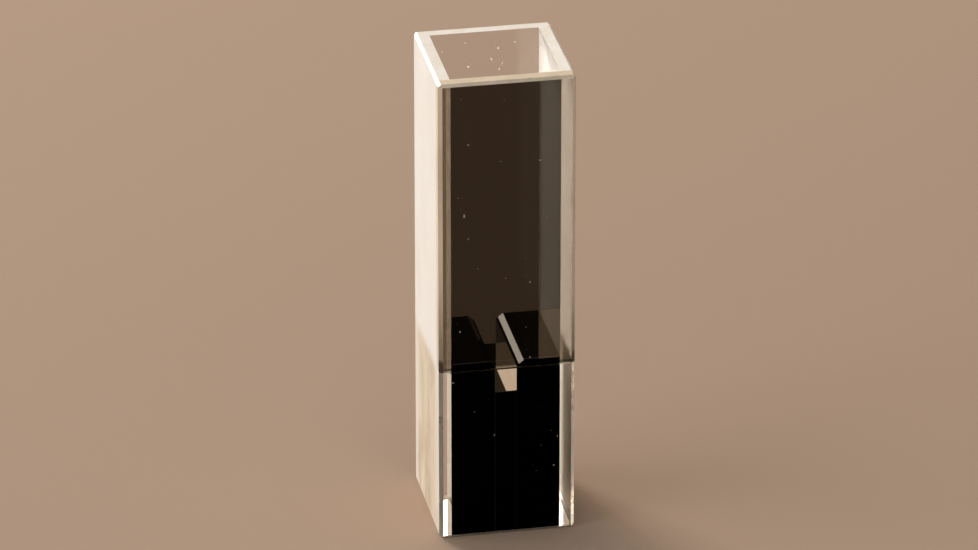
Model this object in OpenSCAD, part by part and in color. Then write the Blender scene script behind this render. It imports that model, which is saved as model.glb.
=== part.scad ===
// Sub-micro optical cell: a square tube of fused glass plates with an open
// mouth. Black glass blocks fill its foot and leave only a narrow sample slot
// between the front and rear windows. The front is two plates, a dark panel
// over a clear window, with their joint just below the tops of the blocks.
// Units are millimetres. The origin is the middle of the base, +Z is up, and
// the front, with the dark panel, faces -Y.

/* [Body] */
// Outer width, across the side walls
body_w = 12.5; // [10:0.1:24]
// Outer depth, from front face to rear face
body_d = 12.5; // [8:0.1:24]
// Outer height, from base to rim
body_h = 45; // [34:0.5:60]

/* [Plates] */
// Thickness of the front and rear plates
window_t = 1.25; // [0.8:0.05:2]
// Thickness of the left and right walls
side_t = 1.25; // [0.8:0.05:2]
// Drop of the joint between the two front plates below the tops of the blocks
joint_drop = 0.3; // [0:0.05:3]

/* [Mask blocks] */
// Height of the black blocks
mask_h = 17; // [10:0.25:30]
// Width of the sample slot between the blocks
slot_w = 2; // [0.5:0.1:4]
// Depth of the sample slot below the tops of the blocks
slot_depth = 3; // [1.5:0.1:8]
// Width of the bevel along each upper edge of the slot
funnel_w = 0.65; // [0.1:0.05:1.2]
// Height of the bevel along each upper edge of the slot
funnel_h = 0.5; // [0.1:0.05:1.2]

/* [Edges] */
// Bevel along the four upright outer edges
edge_bevel = 0.35; // [0.1:0.05:0.6]
// Bevel round the outer edge of the rim and of the base
rim_bevel = 0.25; // [0.1:0.05:0.6]

/* [Hidden] */

chamber_w = body_w - 2 * side_t;
chamber_d = body_d - 2 * window_t;
joint_z = mask_h - joint_drop;
slot_floor_z = mask_h - slot_depth;
mask_block_w = (chamber_w - slot_w) / 2;
clear_glass = [0.93, 0.95, 0.94, 0.35];
ground_glass = [0.95, 0.95, 0.93, 0.8];
dark_glass = [0.17, 0.14, 0.10, 0.8];
black_glass = [0.02, 0.02, 0.02];

// A rectangle about the origin with its four corners cut off at 45 degrees
module bevelled_rectangle(width, length, bevel) {
    x = width / 2;
    y = length / 2;
    polygon([
        [bevel - x, -y], [x - bevel, -y], [x, bevel - y], [x, y - bevel],
        [x - bevel, y], [bevel - x, y], [-x, y - bevel], [-x, bevel - y],
    ]);
}

// The outside of the whole cell: an upright bar with every outer edge bevelled
module envelope() {
    intersection() {
        linear_extrude(body_h)
            bevelled_rectangle(body_w, body_d, edge_bevel);
        translate([0, body_d / 2, body_h / 2])
            rotate([90, 0, 0])
                linear_extrude(body_d)
                    bevelled_rectangle(body_w, body_h, rim_bevel);
        translate([-body_w / 2, 0, body_h / 2])
            rotate([90, 0, 90])
                linear_extrude(body_w)
                    bevelled_rectangle(body_d, body_h, rim_bevel);
    }
}

// A plate across the full width, standing at depth y0, between two heights
module cross_plate(y0, z0, z1) {
    intersection() {
        envelope();
        translate([-body_w / 2, y0, z0])
            cube([body_w, window_t, z1 - z0]);
    }
}

// A wall that closes one side of the chamber, fitted between the cross plates
module side_wall(x0) {
    intersection() {
        envelope();
        translate([x0, -chamber_d / 2, 0])
            cube([side_t, chamber_d, body_h]);
    }
}

// The right-hand block, with its upper slot edge bevelled to guide a pipette tip
module mask_block() {
    x_slot = slot_w / 2;
    x_wall = x_slot + mask_block_w;
    translate([0, chamber_d / 2, 0])
        rotate([90, 0, 0])
            linear_extrude(chamber_d)
                polygon([
                    [x_slot, 0], [x_wall, 0], [x_wall, mask_h],
                    [x_slot + funnel_w, mask_h], [x_slot, mask_h - funnel_h],
                ]);
}

module front_panel() {
    color(dark_glass)
        cross_plate(-body_d / 2, joint_z, body_h);
}

module front_window() {
    color(clear_glass)
        cross_plate(-body_d / 2, 0, joint_z);
}

module rear_window() {
    color(clear_glass)
        cross_plate(chamber_d / 2, 0, body_h);
}

module left_wall() {
    color(ground_glass)
        side_wall(-body_w / 2);
}

module right_wall() {
    color(ground_glass)
        side_wall(chamber_w / 2);
}

module left_mask_block() {
    color(black_glass)
        mirror([1, 0, 0])
            mask_block();
}

module right_mask_block() {
    color(black_glass)
        mask_block();
}

module slot_floor_block() {
    color(black_glass)
        translate([-slot_w / 2, -chamber_d / 2, 0])
            cube([slot_w, chamber_d, slot_floor_z]);
}

front_panel();
front_window();
rear_window();
left_wall();
right_wall();
left_mask_block();
right_mask_block();
slot_floor_block();
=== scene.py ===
# %% [markdown]
# # A sub-micro cuvette, fused from glass plates
# The cell is a square tube of clear plates with an open mouth. Its lower part is filled with black
# glass blocks, which leave a narrow slot for the sample, and its upper front is a dark smoky plate.
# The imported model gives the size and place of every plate. This lesson gives the plates their real
# finish: polished faces, ground faces and edges, fused joints that can't be seen, and a little dust.

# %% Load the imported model
import math
import random

import bpy
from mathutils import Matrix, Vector


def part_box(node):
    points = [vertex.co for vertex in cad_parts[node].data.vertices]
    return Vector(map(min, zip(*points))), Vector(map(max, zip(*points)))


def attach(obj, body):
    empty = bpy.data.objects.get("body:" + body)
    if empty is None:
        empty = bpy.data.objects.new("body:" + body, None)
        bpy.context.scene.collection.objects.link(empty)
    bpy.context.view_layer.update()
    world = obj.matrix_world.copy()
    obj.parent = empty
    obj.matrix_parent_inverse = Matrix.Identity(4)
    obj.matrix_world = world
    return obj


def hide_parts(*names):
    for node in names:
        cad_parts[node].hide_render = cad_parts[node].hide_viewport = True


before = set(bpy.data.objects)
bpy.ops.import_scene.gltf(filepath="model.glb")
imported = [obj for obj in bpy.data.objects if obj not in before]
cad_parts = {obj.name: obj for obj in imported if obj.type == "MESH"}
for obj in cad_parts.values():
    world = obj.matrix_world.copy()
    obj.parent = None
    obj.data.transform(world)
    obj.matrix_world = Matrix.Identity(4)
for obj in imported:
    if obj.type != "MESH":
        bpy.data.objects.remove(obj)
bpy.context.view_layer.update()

MM = 0.001
print("nodes:", sorted(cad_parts))

# %% [markdown]
# ## Driving sizes
# Every size that a plate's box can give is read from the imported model, so the looks follow it. The
# bevels don't show in a box, so they are written here. Touching plates are set a hair apart, because
# two faces in exactly the same place flicker when a ray meets them.

# %% Read the sizes of the plates
rear_low, rear_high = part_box("rear_window")
panel_low, panel_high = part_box("front_panel")
HALF_W = rear_high.x
HALF_D = rear_high.y
TOP_Z = rear_high.z
INNER_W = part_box("right_wall")[0].x
INNER_D = rear_low.y
JOINT_Z = panel_low.z
BLOCK_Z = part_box("right_mask_block")[1].z
SLOT_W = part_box("right_mask_block")[0].x
SLOT_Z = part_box("slot_floor_block")[1].z
EDGE_BEVEL = 0.35 * MM
RIM_BEVEL = 0.25 * MM
FUNNEL_W = 0.65 * MM
FUNNEL_H = 0.5 * MM
HAIR = 0.002 * MM
print(f"half widths: cell {HALF_W / MM:.2f}, chamber {INNER_W / MM:.2f}, slot {SLOT_W / MM:.2f} mm")

# %% [markdown]
# ## Node helpers
# Materials are easier to read when a node and its settings fit on one line, so one helper adds a node,
# places it and sets its inputs by name. What several finishes share is best kept in a node group: it
# is built once and placed in each of them, with values of its own.

# %% Add nodes and groups
def set_inputs(node, inputs):
    """Sets a node's inputs by name, with spaces written as underscores."""
    for name, value in inputs.items():
        node.inputs[name.replace("_", " ")].default_value = value


def add_node(tree, kind, place, **inputs):
    """Adds a node at a place and sets its inputs."""
    made = tree.nodes.new(kind)
    made.location = place
    set_inputs(made, inputs)
    return made


def start_group(name, inputs, outputs):
    """A new shader node group with number sockets, and its input and output nodes."""
    group = bpy.data.node_groups.new(name, "ShaderNodeTree")
    for socket in inputs:
        group.interface.new_socket(socket, in_out="INPUT", socket_type="NodeSocketFloat")
    for socket in outputs:
        group.interface.new_socket(socket, in_out="OUTPUT", socket_type="NodeSocketFloat")
    given = add_node(group, "NodeGroupInput", (-900, 50))
    result = add_node(group, "NodeGroupOutput", (300, 50))
    return group, given, result


def place_group(tree, group, place, **inputs):
    """Places a group in a material, with that material's own values."""
    placed = add_node(tree, "ShaderNodeGroup", place)
    placed.node_tree = group
    set_inputs(placed, inputs)
    return placed


print("node helpers ready")

# %% [markdown]
# ## Film on polished glass
# Even a clean cell carries a faint film: wiped streaks and the drying marks of droplets. On clear or
# black glass it shows only as places where the polish is a little dull. The group makes upright
# streaks and soft blotches, and turns them into a roughness between a clean and a dull one.

# %% Build the film group
def add_upright_noise(group, y, squash, **inputs):
    """Adds noise in the cell's own space, drawn out upright by squashing its height."""
    spot = add_node(group, "ShaderNodeTexCoord", (-900, y))
    drawn_out = add_node(group, "ShaderNodeMapping", (-700, y), Scale=(1.0, 1.0, squash))
    noise = add_node(group, "ShaderNodeTexNoise", (-480, y), **inputs)
    group.links.new(spot.outputs["Object"], drawn_out.inputs["Vector"])
    group.links.new(drawn_out.outputs["Vector"], noise.inputs["Vector"])
    return noise


def add_math(tree, operation, place):
    """Adds one step of arithmetic."""
    step = add_node(tree, "ShaderNodeMath", place)
    step.operation = operation
    return step


def build_film():
    group, given, result = start_group("polish film", ["Blotch Scale", "Clean", "Dull"], ["Roughness"])
    links = group.links
    blotch = add_upright_noise(group, 400, squash=0.3, Detail=5.0, Roughness=0.6)
    streak = add_upright_noise(group, -200, squash=0.04, Scale=2600.0, Detail=3.0)
    both = add_math(group, "MULTIPLY", (-240, 120))
    dulled = add_node(group, "ShaderNodeMapRange", (0, 120), From_Min=0.22, From_Max=0.42)
    links.new(given.outputs["Blotch Scale"], blotch.inputs["Scale"])
    links.new(blotch.outputs["Fac"], both.inputs[0])
    links.new(streak.outputs["Fac"], both.inputs[1])
    links.new(both.outputs["Value"], dulled.inputs["Value"])
    links.new(given.outputs["Clean"], dulled.inputs["To Min"])
    links.new(given.outputs["Dull"], dulled.inputs["To Max"])
    links.new(dulled.outputs["Result"], result.inputs["Roughness"])
    return group


FILM = build_film()
print("group:", FILM.name)

# %% [markdown]
# ## Grain and stains of ground glass
# The side faces, the rim and the bevels are ground with grit and left matt. The grain is far finer
# than a pixel, so it goes into bump. Ground glass also holds what touches it: soft tan stains, drawn
# out upright by fingers and drips, which the photo shows low on the side. A stain fills the grain, so
# the face is a little smoother there.

# %% Build the grain group
def build_grain():
    inputs = ["Grain Scale", "Rough", "Smooth"]
    group, given, result = start_group("ground grain", inputs, ["Grain", "Stain", "Roughness"])
    links = group.links
    grain = add_upright_noise(group, 400, squash=1.0, Detail=3.0, Roughness=0.7)
    drip = add_upright_noise(group, -200, squash=0.35, Scale=420.0, Detail=6.0, Roughness=0.65)
    drip.inputs["Distortion"].default_value = 0.6
    stain = add_node(group, "ShaderNodeMapRange", (-200, -200), From_Min=0.42, From_Max=0.72)
    filled = add_node(group, "ShaderNodeMapRange", (50, -200))
    links.new(given.outputs["Grain Scale"], grain.inputs["Scale"])
    links.new(drip.outputs["Fac"], stain.inputs["Value"])
    links.new(stain.outputs["Result"], filled.inputs["Value"])
    links.new(given.outputs["Rough"], filled.inputs["To Min"])
    links.new(given.outputs["Smooth"], filled.inputs["To Max"])
    links.new(grain.outputs["Fac"], result.inputs["Grain"])
    links.new(stain.outputs["Result"], result.inputs["Stain"])
    links.new(filled.outputs["Result"], result.inputs["Roughness"])
    return group


GRAIN = build_grain()
print("group:", GRAIN.name)

# %% [markdown]
# ## Finishes
# Each glass has a few finishes. A polished face is smooth and lets lamps shine through. A ground face
# is rough, and part of it scatters like paint. A fused joint is no surface at all, so the rays cross
# from plate to plate without bending, as in one block of glass.

# %% Dull and grind a face
WHITE = (1.0, 1.0, 1.0)
BLOTCH_SCALE = 300.0
CLEAN_POLISH = 0.0
DULL_POLISH = 0.02
GRAIN_SCALE = 30000.0
COARSE_GRAIN = 0.02 * MM
FINE_GRAIN = 0.004 * MM


def start_material(name, colour, **inputs):
    """A new material with one Principled shader, and that shader."""
    material = bpy.data.materials.new(name)
    material.use_nodes = True
    shader = material.node_tree.nodes["Principled BSDF"]
    shader.inputs["Base Color"].default_value = (*colour, 1.0)
    set_inputs(shader, inputs)
    return material, shader


def dull_by_film(material, shader):
    """Lets the film raise the roughness of a polished face a little."""
    tree = material.node_tree
    film = place_group(tree, FILM, (-450, 0), Clean=CLEAN_POLISH, Dull=DULL_POLISH)
    film.inputs["Blotch Scale"].default_value = BLOTCH_SCALE
    tree.links.new(film.outputs["Roughness"], shader.inputs["Roughness"])


def add_colour_mix(tree, place, first=WHITE, second=WHITE):
    """Adds a mix of two colours."""
    mix = add_node(tree, "ShaderNodeMix", place)
    mix.data_type = "RGBA"
    mix.inputs["A"].default_value = (*first, 1.0)
    mix.inputs["B"].default_value = (*second, 1.0)
    return mix


def grind(material, shader, stained, smooth, rough, depth):
    """Gives a ground face its grain as bump, and its stains as colour and roughness."""
    tree = material.node_tree
    grain = place_group(tree, GRAIN, (-900, 0), Grain_Scale=GRAIN_SCALE, Rough=rough, Smooth=smooth)
    clean = shader.inputs["Base Color"].default_value[:3]
    tint = add_colour_mix(tree, (-450, 250), clean, stained)
    bump = add_node(tree, "ShaderNodeBump", (-450, -300), Strength=0.5, Distance=depth)
    tree.links.new(grain.outputs["Stain"], tint.inputs["Factor"])
    tree.links.new(tint.outputs["Result"], shader.inputs["Base Color"])
    tree.links.new(grain.outputs["Roughness"], shader.inputs["Roughness"])
    tree.links.new(grain.outputs["Grain"], bump.inputs["Height"])
    tree.links.new(bump.outputs["Normal"], shader.inputs["Normal"])
    return tint


print("faces can be dulled and ground")

# %% [markdown]
# Light has to cross the glass as well. A face of glass casts a shadow in Cycles, because a bent ray
# hardly ever finds a lamp. Caustics could be traced, but they are slow and noisy, so the light of the
# lamps crosses a polished face on a straight line. A thin rough face glows on its far side instead.

# %% Let light through a face
QUARTZ_IOR = 1.46


def mix_in(material, shader, other):
    """Mixes another shader into a material's own, and gives the mix's node to set the share."""
    tree = material.node_tree
    output = tree.nodes["Material Output"]
    output.location = (650, 300)
    mix = add_node(tree, "ShaderNodeMixShader", (400, 300))
    tree.links.new(shader.outputs["BSDF"], mix.inputs[1])
    tree.links.new(other.outputs["BSDF"], mix.inputs[2])
    tree.links.new(mix.outputs["Shader"], output.inputs["Surface"])
    return mix


def glow_behind(material, shader, share, colour):
    """Lets a share of a rough face pass light on to its other side, spread every way."""
    tree = material.node_tree
    glow = add_node(tree, "ShaderNodeBsdfTranslucent", (100, -500), Color=(*colour, 1.0))
    mix_in(material, shader, glow).inputs["Fac"].default_value = share


def let_lamps_through(material, shader, passed):
    """Lets light from the lamps cross a polished face on a straight line, in the colour it passes."""
    tree = material.node_tree
    path = add_node(tree, "ShaderNodeLightPath", (100, 500))
    clear = add_node(tree, "ShaderNodeBsdfTransparent", (100, -500), Color=(*passed, 1.0))
    choice = mix_in(material, shader, clear)
    tree.links.new(path.outputs["Is Shadow Ray"], choice.inputs["Fac"])


def polished_quartz(name, colour, passed):
    """Smooth quartz that tints what is seen through it, and passes lamp light in a colour of its own."""
    material, shader = start_material(name, colour, IOR=QUARTZ_IOR, Transmission_Weight=1.0)
    dull_by_film(material, shader)
    let_lamps_through(material, shader, passed)
    return material


print("light can cross a face")

# %% [markdown]
# ### Clear and ground quartz
# The windows are clear and polished. The side walls are the same quartz, but their outer faces are
# ground. Ground glass is white because its grain turns light every way, so a share of it is a plain
# white scatter and the rest is rough glass. Where a black block stands behind it, less light comes
# back, so that shade is painted into the side's colour as tan. The bevels were only lapped: they are
# finer, and glow when a lamp shines on them from inside.

# %% Paint the shade of the blocks behind the side
# The painted shade on the side fades out round the tops of the blocks and towards the ends
FADE_BELOW_TOP = 1.4 * MM
FADE_BEYOND = 0.4 * MM
FADE_FROM_END = 1.5 * MM
SHADE_SHARE_AT_ENDS = 0.4


def add_place(tree, x, y):
    """Adds nodes that give a point's place on the cell as X, Y and Z."""
    spot = add_node(tree, "ShaderNodeTexCoord", (x, y))
    parts = add_node(tree, "ShaderNodeSeparateXYZ", (x + 200, y))
    tree.links.new(spot.outputs["Object"], parts.inputs["Vector"])
    return parts


def add_soft_step(tree, place, low, high, at_low, at_high):
    """Adds a soft step from one value to another while its input goes from low to high."""
    step = add_node(tree, "ShaderNodeMapRange", place, From_Min=low, From_Max=high)
    step.interpolation_type = "SMOOTHSTEP"
    set_inputs(step, {"To_Min": at_low, "To_Max": at_high})
    return step


def painted_block_shade(tree):
    """Adds nodes for the shade of the black blocks that is painted on the side: all at 1, nothing at 0.
    """
    place = add_place(tree, -900, 800)
    fade_low = BLOCK_Z - FADE_BELOW_TOP
    below_top = add_soft_step(tree, (-450, 800), fade_low, BLOCK_Z + FADE_BEYOND, 1.0, 0.0)
    from_middle = add_math(tree, "ABSOLUTE", (-620, 1050))
    fade_start = INNER_D - FADE_FROM_END
    off_ends = add_soft_step(tree, (-450, 1050), fade_start, INNER_D + FADE_BEYOND, 1.0, SHADE_SHARE_AT_ENDS)
    share = add_math(tree, "MULTIPLY", (-320, 900))
    tree.links.new(place.outputs["Z"], below_top.inputs["Value"])
    tree.links.new(place.outputs["Y"], from_middle.inputs[0])
    tree.links.new(from_middle.outputs["Value"], off_ends.inputs["Value"])
    tree.links.new(below_top.outputs["Result"], share.inputs[0])
    tree.links.new(off_ends.outputs["Result"], share.inputs[1])
    return share


# The tan is painted shade of the blocks behind the side
print(f"the side is tan up to {(BLOCK_Z - FADE_BELOW_TOP) / MM:.1f} mm, and fades above that")

# %% Make the clear finishes
# Painted shade: the side's colour where a black block stands behind it, without and with its stains
SHADE_TAN = (0.82, 0.72, 0.58)
STAINED_SHADE_TAN = (0.56, 0.47, 0.33)


def clear_ground():
    material, shader = start_material("ground quartz", (0.97, 0.96, 0.93), IOR=QUARTZ_IOR)
    shader.inputs["Transmission Weight"].default_value = 0.1
    grind(material, shader, stained=(0.90, 0.86, 0.77), smooth=0.45, rough=0.6, depth=COARSE_GRAIN)
    return material


def clear_side():
    material, shader = start_material("ground quartz side", (0.96, 0.96, 0.95), IOR=QUARTZ_IOR)
    shader.inputs["Transmission Weight"].default_value = 0.15
    stained = (0.93, 0.91, 0.87)
    above = grind(material, shader, stained, smooth=0.45, rough=0.6, depth=COARSE_GRAIN)
    tree = material.node_tree
    stain = above.inputs["Factor"].links[0].from_socket
    # Painted shade: the tan is mixed in by how much the blocks shade the side
    below = add_colour_mix(tree, (-450, 500), SHADE_TAN, STAINED_SHADE_TAN)
    share = painted_block_shade(tree)
    both = add_colour_mix(tree, (-200, 400))
    tree.links.new(stain, below.inputs["Factor"])
    tree.links.new(share.outputs["Value"], both.inputs["Factor"])
    tree.links.new(above.outputs["Result"], both.inputs["A"])
    tree.links.new(below.outputs["Result"], both.inputs["B"])
    tree.links.new(both.outputs["Result"], shader.inputs["Base Color"])
    return material


def clear_lapped():
    material, shader = start_material("lapped quartz bevel", (0.94, 0.91, 0.85), IOR=QUARTZ_IOR)
    shader.inputs["Transmission Weight"].default_value = 0.7
    grind(material, shader, stained=(0.75, 0.68, 0.55), smooth=0.2, rough=0.32, depth=FINE_GRAIN)
    glow_behind(material, shader, share=0.3, colour=(0.95, 0.88, 0.76))
    return material


CLEAR = {
    "polished": polished_quartz("clear polished quartz", WHITE, WHITE),
    "ground": clear_ground(),
    "side": clear_side(),
    "lapped": clear_lapped(),
    "fused": start_material("fused clear joint", WHITE, Alpha=0.0)[0],
}
print("clear finishes:", [material.name for material in CLEAR.values()])

# %% [markdown]
# ### Smoky quartz
# The upper front plate is so dark that less than a tenth of the light gets through. The colour could
# be an absorption inside the plate, but a volume has to meet the same material on every face, and
# this plate has several finishes. So its inner face takes the smoke: each ray crosses it once. Glass
# passes the square root of its base colour at a face, which is why the colour here is so deep.

# %% Make the polished and ground smoky finishes
SMOKE_PASSES = (0.079, 0.069, 0.057)
# Painted light: the ends pass more than the smoke alone would, so the end strips look brighter
SMOKE_AND_PAINTED_LIGHT_AT_ENDS = (0.295, 0.252, 0.207)
SMOKE_BASE = tuple(share ** 2 for share in SMOKE_PASSES)


def smoky_ground():
    material, shader = start_material("ground smoky quartz", (0.92, 0.78, 0.60), IOR=QUARTZ_IOR)
    shader.inputs["Transmission Weight"].default_value = 0.2
    grind(material, shader, stained=(0.72, 0.62, 0.48), smooth=0.45, rough=0.6, depth=COARSE_GRAIN)
    return material


print(f"smoke passes {max(SMOKE_PASSES):.3f} of red light, and {max(SMOKE_AND_PAINTED_LIGHT_AT_ENDS):.3f} at the ends")

# %% [markdown]
# The lapped bevels of this plate are pale higher up, where the bright walls light them from inside.
# Towards the joint the black blocks leave them less light, and the last millimetre is nearly black. A
# colour ramp over their height shows that: each stop is a share of the way up from the joint.

# %% Make the smoky bevels
SHADE_REACH = 12.0 * MM
SHADE_START = 0.08
DEEP_SHADE = (0.10, 0.09, 0.08)
PALE_SHADES = ((0.11, 0.45), (0.5, 0.8))


def smoky_lapped():
    material, shader = start_material("lapped smoky bevel", (0.92, 0.80, 0.64), IOR=QUARTZ_IOR)
    shader.inputs["Transmission Weight"].default_value = 0.15
    tint = grind(material, shader, stained=(0.70, 0.59, 0.44), smooth=0.3, rough=0.42, depth=FINE_GRAIN)
    tree = material.node_tree
    place = add_place(tree, -900, 600)
    height = add_node(tree, "ShaderNodeMapRange", (-500, 600), From_Min=JOINT_Z)
    height.inputs["From Max"].default_value = JOINT_Z + SHADE_REACH
    light = add_node(tree, "ShaderNodeValToRGB", (-300, 600))
    stops = light.color_ramp.elements
    stops[0].position = SHADE_START
    stops[0].color = (*DEEP_SHADE, 1.0)
    for position, share in PALE_SHADES:
        stops.new(position).color = (share, share, share, 1.0)
    dimmed = add_colour_mix(tree, (-200, 300))
    dimmed.blend_type = "MULTIPLY"
    dimmed.inputs["Factor"].default_value = 1.0
    tree.links.new(place.outputs["Z"], height.inputs["Value"])
    tree.links.new(height.outputs["Result"], light.inputs["Fac"])
    tree.links.new(tint.outputs["Result"], dimmed.inputs["A"])
    tree.links.new(light.outputs["Color"], dimmed.inputs["B"])
    tree.links.new(dimmed.outputs["Result"], shader.inputs["Base Color"])
    return material


print(f"bevels shaded up to {SHADE_REACH / MM:.0f} mm above the joint")

# %% [markdown]
# Rays to the side walls cross the end joints of this plate instead, so these are smoky as well, but
# they pass nearly four times as much as the inner face: painted light, which brightens the strips
# where the walls glow behind them. Rays that leave it through its foot have crossed only part of its
# thickness: the nearer to the front, the less smoke.

# %% Make the smoky joints
JOINT_CLEARNESS = 0.98


def smoky_joint(name, passes):
    """A joint without a surface that lets a share of each colour through, and that share's node."""
    black = (0.0, 0.0, 0.0)
    material, shader = start_material(name, black, Alpha=1.0 - max(passes), Specular_IOR_Level=0.0)
    tint = add_node(material.node_tree, "ShaderNodeBsdfTransparent", (100, -500), Color=(*passes, 1.0))
    mix_in(material, shader, tint).inputs["Fac"].default_value = JOINT_CLEARNESS
    return material, tint


def smoky_foot():
    """A joint that lets less through the further back a ray crosses it."""
    material, tint = smoky_joint("fused smoky foot", SMOKE_PASSES)
    tree = material.node_tree
    place = add_place(tree, -900, -500)
    depth = add_node(tree, "ShaderNodeMapRange", (-500, -500), From_Min=-HALF_D, From_Max=-INNER_D)
    colour = add_node(tree, "ShaderNodeCombineColor", (-80, -500))
    tree.links.new(place.outputs["Y"], depth.inputs["Value"])
    for row, (channel, share) in enumerate(zip(("Red", "Green", "Blue"), SMOKE_PASSES)):
        crossed = add_math(tree, "POWER", (-290, -300 - 200 * row))
        crossed.inputs[0].default_value = share
        tree.links.new(depth.outputs["Result"], crossed.inputs[1])
        tree.links.new(crossed.outputs["Value"], colour.inputs[channel])
    tree.links.new(colour.outputs["Color"], tint.inputs["Color"])
    return material


SMOKY = {
    "polished": polished_quartz("smoky polished quartz", WHITE, WHITE),
    "inside": polished_quartz("smoky inner face", SMOKE_BASE, SMOKE_PASSES),
    "ground": smoky_ground(),
    "lapped": smoky_lapped(),
    # The ends carry painted light as well as smoke
    "fused": smoky_joint("fused smoky ends", SMOKE_AND_PAINTED_LIGHT_AT_ENDS)[0],
    "foot": smoky_foot(),
}
print("smoky finishes:", [material.name for material in SMOKY.values()])

# %% [markdown]
# ### Black glass
# The blocks are black all through. Where they meet air they are polished and mirror what is round
# them. Where they are fused to clear glass there is no mirror, only black. The narrow bevels at
# their front edges are ground, and show as faint grey lines. The broken edges of the slot are matt.

# %% Make the black finishes
def black_polish():
    material, shader = start_material("black polished glass", (0.002, 0.002, 0.002), IOR=QUARTZ_IOR)
    dull_by_film(material, shader)
    return material


def black_ground():
    material, shader = start_material("ground black glass", (0.05, 0.05, 0.048), IOR=QUARTZ_IOR)
    grind(material, shader, stained=(0.03, 0.03, 0.028), smooth=0.4, rough=0.6, depth=COARSE_GRAIN)
    return material


def plain_black(name, colour, roughness, mirror):
    """Black without grain, by how rough it is and how much it mirrors."""
    return start_material(name, colour, Roughness=roughness, Specular_IOR_Level=mirror)[0]


BLACK = {
    "polished": black_polish(),
    "ground": black_ground(),
    "fused": plain_black("fused black joint", (0.0, 0.0, 0.0), roughness=1.0, mirror=0.0),
    "matt": plain_black("matt black edge", (0.006, 0.006, 0.005), roughness=0.9, mirror=0.05),
}
print("black finishes:", [material.name for material in BLACK.values()])

# %% [markdown]
# ## Cutting plates
# A plate starts as a cube of the right size and place. A Bevel modifier would cut all its edges, but
# only the outer edges of the whole cell are bevelled. So each bevel is one flat cut, as a grinder
# makes it: Bisect cuts the whole mesh with a plane, throws away the outer side and fills the cut.
# The same operator without filling only draws a line on a face, to part its finishes.

# %% Make the cutting helpers
CUT_TOLERANCE = 1e-7


def start_piece(name, low, high):
    """A cube stretched between two corners, with its place in its mesh."""
    bpy.ops.object.select_all(action="DESELECT")
    bpy.ops.mesh.primitive_cube_add(size=1.0, location=(low + high) / 2)
    piece = bpy.context.object
    piece.name = name
    piece.data.name = name
    bpy.ops.transform.resize(value=high - low)
    bpy.ops.object.transform_apply(location=True, rotation=True, scale=True)
    return piece


def select_faces(piece, chosen):
    """Selects, in edit mode, the faces whose centre and normal the test chooses."""
    bpy.ops.object.mode_set(mode="EDIT")
    bpy.ops.mesh.select_mode(type="FACE")
    bpy.ops.mesh.select_all(action="DESELECT")
    bpy.ops.object.mode_set(mode="OBJECT")
    for face in piece.data.polygons:
        face.select = chosen(face.center, face.normal)
    bpy.ops.object.mode_set(mode="EDIT")


def cut_away(piece, point, normal):
    """Cuts off what lies beyond a plane, and closes the cut with a face."""
    select_faces(piece, lambda centre, facing: True)
    bpy.ops.mesh.bisect(
        plane_co=point, plane_no=normal, use_fill=True, clear_outer=True, threshold=CUT_TOLERANCE)
    bpy.ops.object.mode_set(mode="OBJECT")


def draw_line(piece, point, normal, chosen):
    """Splits the chosen faces along a plane, and keeps both sides."""
    select_faces(piece, chosen)
    bpy.ops.mesh.bisect(plane_co=point, plane_no=normal, threshold=CUT_TOLERANCE)
    bpy.ops.object.mode_set(mode="OBJECT")


def bevel_outside(piece):
    """Cuts the outer bevels of the whole cell that reach this piece."""
    for x in (-1, 1):
        for y in (-1, 1):
            corner = Vector((x * HALF_W, y * (HALF_D - EDGE_BEVEL), 0.0))
            cut_away(piece, corner, Vector((x, y, 0.0)))
    for z, up in ((TOP_Z, 1), (0.0, -1)):
        for side in (-1, 1):
            edge_z = z - up * RIM_BEVEL
            cut_away(piece, Vector((side * HALF_W, 0.0, edge_z)), Vector((side, 0.0, up)))
            cut_away(piece, Vector((0.0, side * HALF_D, edge_z)), Vector((0.0, side, up)))


def finish_piece(piece, finishes, choose, node):
    """Gives each face its finish, hangs the piece under the root, and hides the imported part that it
    stands for.
    """
    names = list(finishes)
    for name in names:
        piece.data.materials.append(finishes[name])
    for face in piece.data.polygons:
        face.material_index = names.index(choose(face.center, face.normal))
    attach(piece, "root")
    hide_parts(node)
    print(f"{piece.name}: {len(piece.data.polygons)} faces")


print("cutting helpers ready")

# %% [markdown]
# ## Windows
# Two plates close the front and one the rear, all across the full width. On their inner faces, only
# what has the chamber or the slot behind it is a real surface. The rest is fused to a side wall or
# to a black block, so lines are drawn there to part the open glass from the fused joints.

# %% Draw where the inner faces are fused
UPRIGHT_CUT = Vector((1.0, 0.0, 0.0))
LEVEL_CUT = Vector((0.0, 0.0, 1.0))
# A face looks along an axis when its normal goes this far along it
FACING = 0.9


def behind_is_open(x, z):
    """True where the inner face of a front or rear plate has air behind it."""
    if abs(x) > INNER_W:
        return False
    if z > BLOCK_Z:
        return True
    beyond_slot = abs(x) - SLOT_W
    if beyond_slot < 0:
        return z > SLOT_Z
    return (z - BLOCK_Z + FUNNEL_H) * FUNNEL_W > beyond_slot * FUNNEL_H


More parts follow.
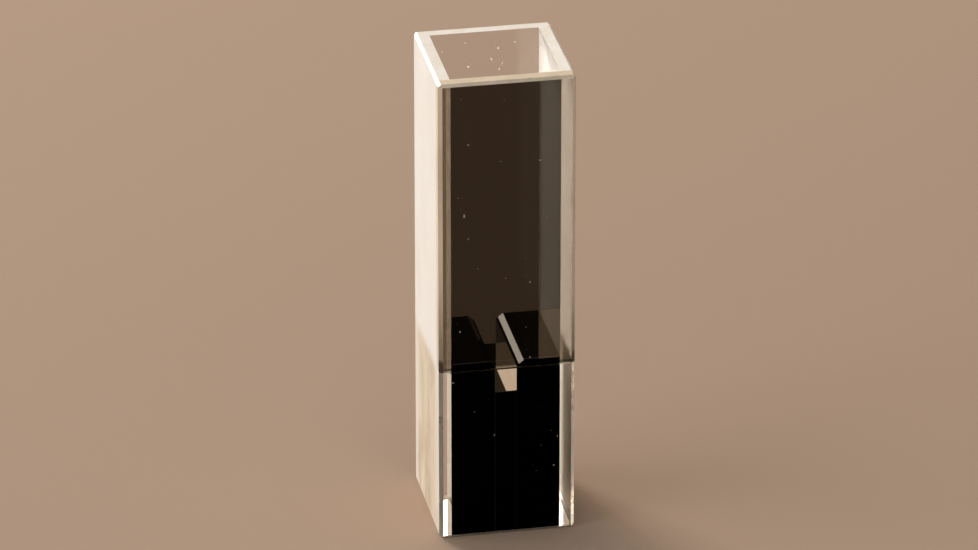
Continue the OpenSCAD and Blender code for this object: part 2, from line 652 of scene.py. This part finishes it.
def mark_inner_face(piece, inward):
    """Draws the outlines of the chamber and the slot on a plate's inner face."""
    def inner(centre, normal):
        return normal.y * inward > FACING

    def below(centre, normal):
        return inner(centre, normal) and centre.z < BLOCK_Z and abs(centre.x) < INNER_W

    def in_slot(centre, normal):
        return below(centre, normal) and abs(centre.x) < SLOT_W

    for side in (-1, 1):
        draw_line(piece, Vector((side * INNER_W, 0.0, 0.0)), UPRIGHT_CUT, inner)
    draw_line(piece, Vector((0.0, 0.0, BLOCK_Z)), LEVEL_CUT, inner)
    for side in (-1, 1):
        def beside_slot(centre, normal):
            return below(centre, normal) and centre.x * side > SLOT_W

        draw_line(piece, Vector((side * SLOT_W, 0.0, 0.0)), UPRIGHT_CUT, below)
        foot = Vector((side * SLOT_W, 0.0, BLOCK_Z - FUNNEL_H))
        slope = Vector((-side * FUNNEL_H, 0.0, FUNNEL_W))
        draw_line(piece, foot, slope, beside_slot)
    draw_line(piece, Vector((0.0, 0.0, SLOT_Z)), LEVEL_CUT, in_slot)


print("inner faces can be marked")

# %% [markdown]
# The joint between the two front plates lies just below the tops of the blocks. It shows as a faint
# grey line on the black, so both plates get a hair bevel along it, which makes a fine groove. A face's
# finish follows from where it lies and which way it faces.

# %% Choose the finishes of the windows
GROOVE = 0.08 * MM


def is_bevel(normal):
    """True if a face lies across two or three axes, as every bevel does."""
    return max(abs(share) for share in normal) < FACING


def plate_finish(inward, open_finish="polished", foot_finish="fused", end_finish="side"):
    """Which finish a face of a front or rear plate has, by its place."""
    def choose(centre, normal):
        if normal.y * inward > FACING:
            return open_finish if behind_is_open(centre.x, centre.z) else "fused"
        if normal.y * inward < -FACING:
            return "polished"
        near_joint = abs(centre.z - JOINT_Z) < GROOVE
        if is_bevel(normal):
            return "polished" if near_joint else "lapped"
        if near_joint:
            return foot_finish
        if normal.z < -FACING:
            return "polished"
        return end_finish if abs(normal.x) > FACING else "ground"
    return choose


print(f"groove at the joint: {GROOVE / MM:.2f} mm")

# %% Cut the windows
def hair_bevel(plate, up):
    """Cuts a front plate's hair bevel along the joint: up is 1 for its top edge, -1 for its foot."""
    edge = Vector((0.0, -HALF_D, JOINT_Z - up * GROOVE))
    cut_away(plate, edge, Vector((0.0, -1.0, up)))


def cut_front_window():
    low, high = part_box("front_window")
    window = start_piece("lower_front_glass", low, high - Vector((0.0, 0.0, HAIR)))
    bevel_outside(window)
    hair_bevel(window, 1)
    mark_inner_face(window, 1)
    finish_piece(window, CLEAR, plate_finish(1), "front_window")


def cut_front_panel():
    panel = start_piece("smoky_front_glass", panel_low, panel_high)
    bevel_outside(panel)
    hair_bevel(panel, -1)
    mark_inner_face(panel, 1)
    finish_piece(panel, SMOKY, plate_finish(1, "inside", "foot", "ground"), "front_panel")


def cut_rear_window():
    window = start_piece("rear_glass", rear_low, rear_high)
    bevel_outside(window)
    mark_inner_face(window, -1)
    finish_piece(window, CLEAR, plate_finish(-1), "rear_window")


cut_front_window()
cut_front_panel()
cut_rear_window()

# %% [markdown]
# ## Side walls
# The side walls stand between the front and rear plates, and both their ends are fused. Their outer
# faces are ground and their inner faces polished. The black blocks only rest against them: seen from
# the front, the lower end strips are bright, so a mirror of air must lie between wall and block. The
# strips turn white at the very bottom, where a polished base mirrors the lamps, so the base of the
# walls and of the windows is polished too.

# %% Cut the side walls
DEPTH_HAIR = Vector((0.0, HAIR, 0.0))


def cut_side_wall(name, node, side):
    low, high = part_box(node)
    wall = start_piece(name, low + DEPTH_HAIR, high - DEPTH_HAIR)
    bevel_outside(wall)

    def choose(centre, normal):
        if abs(normal.y) > FACING:
            return "fused"
        if normal.x * side > FACING:
            return "side"
        return "polished" if normal.x * side < -FACING or normal.z < -FACING else "ground"

    finish_piece(wall, CLEAR, choose, node)


cut_side_wall("left_side_glass", "left_wall", -1)
cut_side_wall("right_side_glass", "right_wall", 1)

# %% [markdown]
# ## Black blocks
# Two blocks and a low one between them fill the foot of the cell. The slot's upper edges are cut
# back and polished to guide a pipette tip. The lower edge of that bevel is broken by a second, steeper
# cut that was left matt, so a black line runs along the bright bevel. The low block's front edges
# have a hair bevel, so its seams and the sill of the slot show as thin lines behind the window.

# %% Cut the black blocks
SEAM = 0.04 * MM
BREAK_W = 0.20 * MM
STEEP = math.radians(46.0)
# How far up the normal of an upright face, and of a steep one, points at most
UPRIGHT_BELOW = 0.1
STEEP_BELOW = 0.7


def cut_mask_block(name, node, side):
    low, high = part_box(node)
    inset = Vector((HAIR, HAIR, 0.0))
    block = start_piece(name, low + inset, high - inset)
    foot = Vector((side * (SLOT_W + HAIR), 0.0, BLOCK_Z - FUNNEL_H))
    cut_away(block, foot, Vector((-side * FUNNEL_H, 0.0, FUNNEL_W)))
    broken = foot + Vector((side * BREAK_W, 0.0, BREAK_W * FUNNEL_H / FUNNEL_W))
    cut_away(block, broken, Vector((-side * math.sin(STEEP), 0.0, math.cos(STEEP))))

    def choose(centre, normal):
        if UPRIGHT_BELOW < normal.z < STEEP_BELOW:
            return "matt"
        beside_air = abs(normal.x) > FACING or normal.z > UPRIGHT_BELOW
        return "polished" if beside_air else "fused"

    finish_piece(block, BLACK, choose, node)


def cut_floor_block():
    low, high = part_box("slot_floor_block")
    block = start_piece("slot_floor_glass", low + DEPTH_HAIR, high - DEPTH_HAIR)
    for side in (-1, 1):
        cut_away(block, Vector((side * (SLOT_W - SEAM), -INNER_D, 0.0)), Vector((side, -1.0, 0.0)))
    cut_away(block, Vector((0.0, -INNER_D, SLOT_Z - SEAM)), Vector((0.0, -1.0, 1.0)))

    def choose(centre, normal):
        if normal.z > FACING:
            return "polished"
        return "ground" if is_bevel(normal) else "fused"

    finish_piece(block, BLACK, choose, "slot_floor_block")


cut_mask_block("left_black_glass", "left_mask_block", -1)
cut_mask_block("right_black_glass", "right_mask_block", 1)
cut_floor_block()

# %% [markdown]
# ## Dust
# Pale specks of dust show on the dark front and on the inside of the rear window. They could be
# painted on as a texture, but a speck seen through glass has a place of its own. So one flake is
# squashed from a small ball, and copies are turned, sized and laid on the faces. The specks that
# stand out in the photo are placed one by one, and the faint ones at random.

# %% Make a flake of dust
DUST_IOR = 1.4
DUST_GRAIN = 0.01 * MM
UNEVEN = 0.12
FLATNESS = 0.25
FLAKE_SEED = 4


def dust_finish():
    material, shader = start_material("pale dust", (0.86, 0.82, 0.74), IOR=DUST_IOR)
    grind(material, shader, stained=(0.70, 0.63, 0.52), smooth=0.7, rough=0.9, depth=DUST_GRAIN)
    glow_behind(material, shader, share=0.6, colour=(0.95, 0.92, 0.85))
    return material


def start_flake():
    """A thin uneven flake, 1 across, that lies in the XZ plane."""
    bpy.ops.object.select_all(action="DESELECT")
    bpy.ops.mesh.primitive_ico_sphere_add(subdivisions=2, radius=0.5)
    flake = bpy.context.object
    bpy.ops.object.mode_set(mode="EDIT")
    bpy.ops.mesh.select_all(action="SELECT")
    bpy.ops.transform.vertex_random(offset=UNEVEN, uniform=1.0, seed=FLAKE_SEED)
    bpy.ops.transform.resize(value=(1.0, FLATNESS, 1.0))
    bpy.ops.object.mode_set(mode="OBJECT")
    flake.data.materials.append(dust_finish())
    return flake


def lay_flake(flake, place, width, height, turn):
    """A copy of the flake with its own mesh, sized, turned about Y and moved to its place."""
    speck = flake.copy()
    speck.data = flake.data.copy()
    bpy.context.collection.objects.link(speck)
    speck.scale = (width, min(width, height), height)
    speck.rotation_euler = (0.0, turn, 0.0)
    speck.location = place
    return speck


print("flakes can be laid")

# %% [markdown]
# Each speck that stands out is written as how far right and up it lies, its width and its height, all
# in millimetres.

# %% Lay the dust
FRONT_SPECKS = [
    (-3.95, 32.15, 0.16, 0.40), (-3.57, 39.06, 0.16, 0.18), (2.95, 37.04, 0.14, 0.15),
    (-3.59, 29.86, 0.12, 0.14), (2.06, 25.11, 0.10, 0.18), (-4.35, 20.72, 0.15, 0.20),
    (-5.00, 15.67, 0.15, 0.18), (-1.20, 10.08, 0.10, 0.20), (4.31, 6.51, 0.16, 0.15),
    (2.05, 17.63, 0.10, 0.16),
]
REAR_SPECKS = [
    (-1.46, 41.63, 0.18, 0.26), (1.29, 43.27, 0.20, 0.22), (2.81, 43.73, 0.17, 0.18),
    (-1.73, 44.00, 0.10, 0.16), (1.39, 41.20, 0.14, 0.16), (0.65, 42.24, 0.08, 0.40),
    (1.66, 41.77, 0.08, 0.30), (-3.83, 43.29, 0.14, 0.16),
]
SPECK_TURN = 0.4
FAINT_FRONT = 20
FAINT_REAR = 16
FAINT_SIZES = (0.03 * MM, 0.06 * MM)
FAINT_STRETCH = (0.8, 2.0)
FAINT_TURN = 1.0
EDGE_GAP = 1.0 * MM
DUST_SEED = 11


def lay_seen_specks(flake):
    """The specks that stand out in the photo."""
    specks = []
    for placed, y in ((FRONT_SPECKS, -HALF_D), (REAR_SPECKS, INNER_D)):
        for x, z, width, height in placed:
            place = Vector((x * MM, y, z * MM))
            turn = random.uniform(-SPECK_TURN, SPECK_TURN)
            specks.append(lay_flake(flake, place, width * MM, height * MM, turn))
    return specks


def lay_faint_specks(flake, count, y, reach, low):
    """Faint specks at random places on one face, between a height and the rim."""
    specks = []
    for _ in range(count):
        place = Vector((random.uniform(-reach, reach), y, random.uniform(low, TOP_Z - EDGE_GAP)))
        width = random.uniform(*FAINT_SIZES)
        height = width * random.uniform(*FAINT_STRETCH)
        specks.append(lay_flake(flake, place, width, height, random.uniform(-FAINT_TURN, FAINT_TURN)))
    return specks


def lay_dust():
    random.seed(DUST_SEED)
    flake = start_flake()
    specks = lay_seen_specks(flake)
    specks += lay_faint_specks(flake, FAINT_FRONT, -HALF_D, HALF_W - EDGE_GAP, EDGE_GAP)
    specks += lay_faint_specks(flake, FAINT_REAR, INNER_D, INNER_W - EDGE_GAP, BLOCK_Z + EDGE_GAP)
    bpy.data.objects.remove(flake)
    bpy.ops.object.select_all(action="DESELECT")
    for speck in specks:
        speck.select_set(True)
    bpy.context.view_layer.objects.active = specks[0]
    bpy.ops.object.join()
    dust = bpy.context.object
    dust.name = "dust_specks"
    bpy.ops.object.transform_apply(location=True, rotation=True, scale=True)
    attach(dust, "root")
    print(f"dust: {len(specks)} specks, {len(dust.data.polygons)} faces")


lay_dust()

# %% [markdown]
# ## Floor
# The cell stands on a plain pale floor, which lies a hair below its base, so that the two faces don't
# flicker.

# %% Lay the floor
FLOOR_SIZE = 1.4
FLOOR_DROP = 0.02 * MM
FLOOR_COLOUR = (0.412, 0.306, 0.234)


def lay_floor():
    bpy.ops.object.select_all(action="DESELECT")
    bpy.ops.mesh.primitive_plane_add(size=FLOOR_SIZE, location=(0.0, 0.0, -FLOOR_DROP))
    floor = bpy.context.object
    floor.name = "pale_floor"
    material, _ = start_material("pale floor", FLOOR_COLOUR, Roughness=0.9, Specular_IOR_Level=0.1)
    floor.data.materials.append(material)


lay_floor()
print("floor laid")

# %% [markdown]
# Black glass mirrors the floor in front of it and looks grey. A black card lies there, just below the
# picture, as painted shade: it is seen only in mirrors and through glass, never directly, and darkens
# what the black glass mirrors.

# %% Lay the card of painted shade that only mirrors see
CARD_GAP = 0.3 * MM
CARD_SIZE = 0.24
CARD_LIFT = 0.01 * MM
SHADE_CARD_COLOUR = (0.01, 0.01, 0.01)


def lay_mirror_shade_card():
    bpy.ops.object.select_all(action="DESELECT")
    middle = -HALF_D - CARD_GAP - CARD_SIZE / 2
    bpy.ops.mesh.primitive_plane_add(size=CARD_SIZE, location=(0.0, middle, CARD_LIFT))
    card = bpy.context.object
    card.name = "mirror_shade_card"
    material, _ = start_material("mirror shade card", SHADE_CARD_COLOUR, Roughness=1.0, Specular_IOR_Level=0.0)
    card.data.materials.append(material)
    # Painted shade: hidden from the camera, from matt faces and from shadows, so only mirrors and glass
    # see it
    card.visible_camera = False
    card.visible_diffuse = False
    card.visible_shadow = False


lay_mirror_shade_card()
print("mirror shade card laid")

# %% [markdown]
# ## Lamps
# A soft lamp behind the cell on the left shines through the glass and lights the ground walls from
# inside. A dimmer, warmer panel behind it is what the slot mirrors. A large soft lamp on the left
# lights the ground side.

# %% Set the lamps
CELL_MIDDLE = Vector((0.0, 0.0, TOP_Z / 2))
WARM = (1.0, 0.97, 0.92)
WARMER = (1.0, 0.72, 0.48)


def direction(azimuth, elevation):
    """The way from the cell to a point: azimuth 0 is towards the front, and it grows to the right."""
    turn = math.radians(azimuth)
    lift = math.radians(elevation)
    level = math.cos(lift)
    return Vector((math.sin(turn) * level, -math.cos(turn) * level, math.sin(lift)))


def add_softbox(name, away, distance, width, height, power, colour):
    """A soft rectangular lamp that faces the cell."""
    lamp = bpy.data.lights.new(name, "AREA")
    lamp.shape = "RECTANGLE"
    lamp.size = width
    lamp.size_y = height
    lamp.energy = power
    lamp.color = colour
    holder = bpy.data.objects.new(name, lamp)
    holder.location = CELL_MIDDLE + away * distance
    holder.rotation_euler = away.to_track_quat("Z", "Y").to_euler()
    holder.visible_camera = False
    bpy.context.collection.objects.link(holder)


add_softbox(
    "rear left softbox", direction(208.0, 14.0), distance=1.2,
    width=0.36, height=0.27, power=12.5, colour=WARM)
add_softbox(
    "rear panel", direction(194.0, 27.0), distance=1.3,
    width=0.42, height=0.36, power=6.6, colour=WARMER)
add_softbox(
    "left softbox", direction(275.0, 40.0), distance=1.2,
    width=0.9, height=0.9, power=4.2, colour=WARM)

# %% [markdown]
# ## Sky
# An even sky fills in what the lamps leave dark on matt faces. Where a view looks past the floor, it
# sees a plain grey, and so do glass and mirrors near the horizon. Higher up, glass and mirrors show a
# dim warm room instead, because a bright sky would lie on the black glass as a veil.

# %% Set the sky
SKY_COLOUR = (1.0, 0.98, 0.95)
SKY_STRENGTH = 0.4
SEEN_COLOUR = (0.62, 0.57, 0.51)
SEEN_STRENGTH = 0.8
ROOM_COLOUR = (0.22, 0.15, 0.075)
ROOM_STRENGTH = 1.0
# How far up a ray points where the room begins to show, and where it shows fully
HORIZON_LOW = 0.06
HORIZON_HIGH = 0.16


def set_sky():
    world = bpy.data.worlds.new("soft sky")
    bpy.context.scene.world = world
    world.use_nodes = True
    tree = world.node_tree
    links = tree.links
    light = tree.nodes["Background"]
    light.inputs["Color"].default_value = (*SKY_COLOUR, 1.0)
    light.inputs["Strength"].default_value = SKY_STRENGTH
    seen = add_node(tree, "ShaderNodeBackground", (0, -200), Color=(*SEEN_COLOUR, 1.0))
    seen.inputs["Strength"].default_value = SEEN_STRENGTH
    room = add_node(tree, "ShaderNodeBackground", (0, -400), Color=(*ROOM_COLOUR, 1.0))
    room.inputs["Strength"].default_value = ROOM_STRENGTH
    path = add_node(tree, "ShaderNodeLightPath", (0, 500))
    spot = add_node(tree, "ShaderNodeTexCoord", (-600, -500))
    way = add_node(tree, "ShaderNodeSeparateXYZ", (-400, -500))
    high = add_node(tree, "ShaderNodeMapRange", (-200, -500), From_Min=HORIZON_LOW)
    high.inputs["From Max"].default_value = HORIZON_HIGH
    glass_view = add_node(tree, "ShaderNodeMixShader", (250, -300))
    mirrored = add_node(tree, "ShaderNodeMixShader", (450, -100))
    choice = add_node(tree, "ShaderNodeMixShader", (650, 100))
    links.new(spot.outputs["Generated"], way.inputs["Vector"])
    links.new(way.outputs["Z"], high.inputs["Value"])
    links.new(high.outputs["Result"], glass_view.inputs["Fac"])
    links.new(seen.outputs["Background"], glass_view.inputs[1])
    links.new(room.outputs["Background"], glass_view.inputs[2])
    links.new(path.outputs["Is Glossy Ray"], mirrored.inputs["Fac"])
    links.new(light.outputs["Background"], mirrored.inputs[1])
    links.new(glass_view.outputs["Shader"], mirrored.inputs[2])
    links.new(path.outputs["Is Camera Ray"], choice.inputs["Fac"])
    links.new(mirrored.outputs["Shader"], choice.inputs[1])
    links.new(seen.outputs["Background"], choice.inputs[2])
    links.new(choice.outputs["Shader"], tree.nodes["World Output"].inputs["Surface"])


set_sky()
print("sky:", bpy.context.scene.world.name)

# %% [markdown]
# ## Camera
# The photo looks down on the cell from a little left of its front, with a long lens. The angles, the
# distance and the lens come from fitting the outer corners of the cell in the photo. Rays cross many
# faces of glass in a row, so they are given many bounces.

# %% Place the camera
CAMERA_AZIMUTH = -10.78
CAMERA_ELEVATION = 25.25
CAMERA_DISTANCE = 628.6 * MM
CAMERA_LENS = 255.2
CAMERA_NEAR = 0.01
CAMERA_FAR = 20.0
AIM_LEFT = 0.495 * MM
AIM_UP = 0.544 * MM


def place_camera():
    data = bpy.data.cameras.new("photo camera")
    data.lens = CAMERA_LENS
    data.clip_start = CAMERA_NEAR
    data.clip_end = CAMERA_FAR
    camera = bpy.data.objects.new("photo camera", data)
    back = direction(CAMERA_AZIMUTH, CAMERA_ELEVATION)
    right = Vector((0.0, 0.0, 1.0)).cross(back).normalized()
    up = back.cross(right)
    camera.location = CELL_MIDDLE + back * CAMERA_DISTANCE - right * AIM_LEFT + up * AIM_UP
    camera.rotation_euler = (-back).to_track_quat("-Z", "Y").to_euler()
    bpy.context.collection.objects.link(camera)
    bpy.context.scene.camera = camera


place_camera()
scene = bpy.context.scene
scene.view_settings.view_transform = "Standard"
scene.cycles.max_bounces = 32
scene.cycles.min_light_bounces = 12
scene.cycles.glossy_bounces = 24
scene.cycles.transmission_bounces = 24
scene.cycles.transparent_max_bounces = 32
print("camera:", tuple(round(length / MM, 1) for length in scene.camera.location), "mm")
